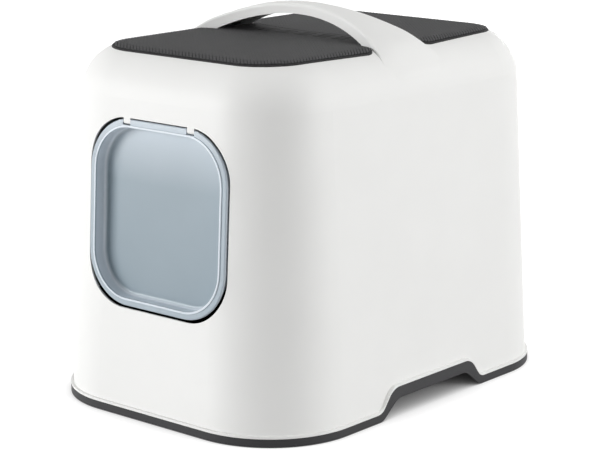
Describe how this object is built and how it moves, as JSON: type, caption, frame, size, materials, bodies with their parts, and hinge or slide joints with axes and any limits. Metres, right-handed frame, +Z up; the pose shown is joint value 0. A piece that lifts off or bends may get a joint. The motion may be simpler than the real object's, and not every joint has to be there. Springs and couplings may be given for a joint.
{
  "type": "hooded cat litter box",
  "caption": "Rounded litter tray under a lift-off hood with a moulded carrying handle, a dished swing door and a filtered cover let into the top.",
  "frame": {"origin": "on the floor under the middle of the box", "axes": "+Z up, Y along the length with the doorway facing -Y, X across the width"},
  "size_m": [0.37, 0.51, 0.4281],
  "materials": {
    "tray": "satin",
    "feet": "matte",
    "hood": "satin",
    "cover": "fine diamond pattern",
    "flap": "frosted",
    "pins": "plain",
    "frame": "satin",
    "filter": "open foam"
  },
  "bodies": {
    "tray": {"litter_tray": "tray", "foot_front_left": "feet", "foot_front_right": "feet", "foot_rear_left": "feet", "foot_rear_right": "feet"},
    "hood": {"hood_shell": "hood", "vent_cover": "cover", "filter_pin_left": "pins", "filter_pin_right": "pins"},
    "flap": {"entry_flap": "flap", "flap_pin_left": "pins", "flap_pin_right": "pins"},
    "filter_tray": {"filter_frame": "frame", "carbon_filter": "filter"}
  },
  "joints": [
    {"name": "hood_lift", "type": "slide", "parent": "tray", "child": "hood", "axis": [0, 0, 1], "range_m": [0, 0.15]},
    {"name": "flap_swing", "type": "hinge", "parent": "hood", "child": "flap", "pos_m": [0, -0.23276, 0.31921], "axis": [1, 0, 0], "range_deg": [-60, 75]},
    {"name": "filter_drop", "type": "hinge", "parent": "hood", "child": "filter_tray", "pos_m": [0, 0.058, 0.38], "axis": [1, 0, 0], "range_deg": [0, 80]}
  ]
}
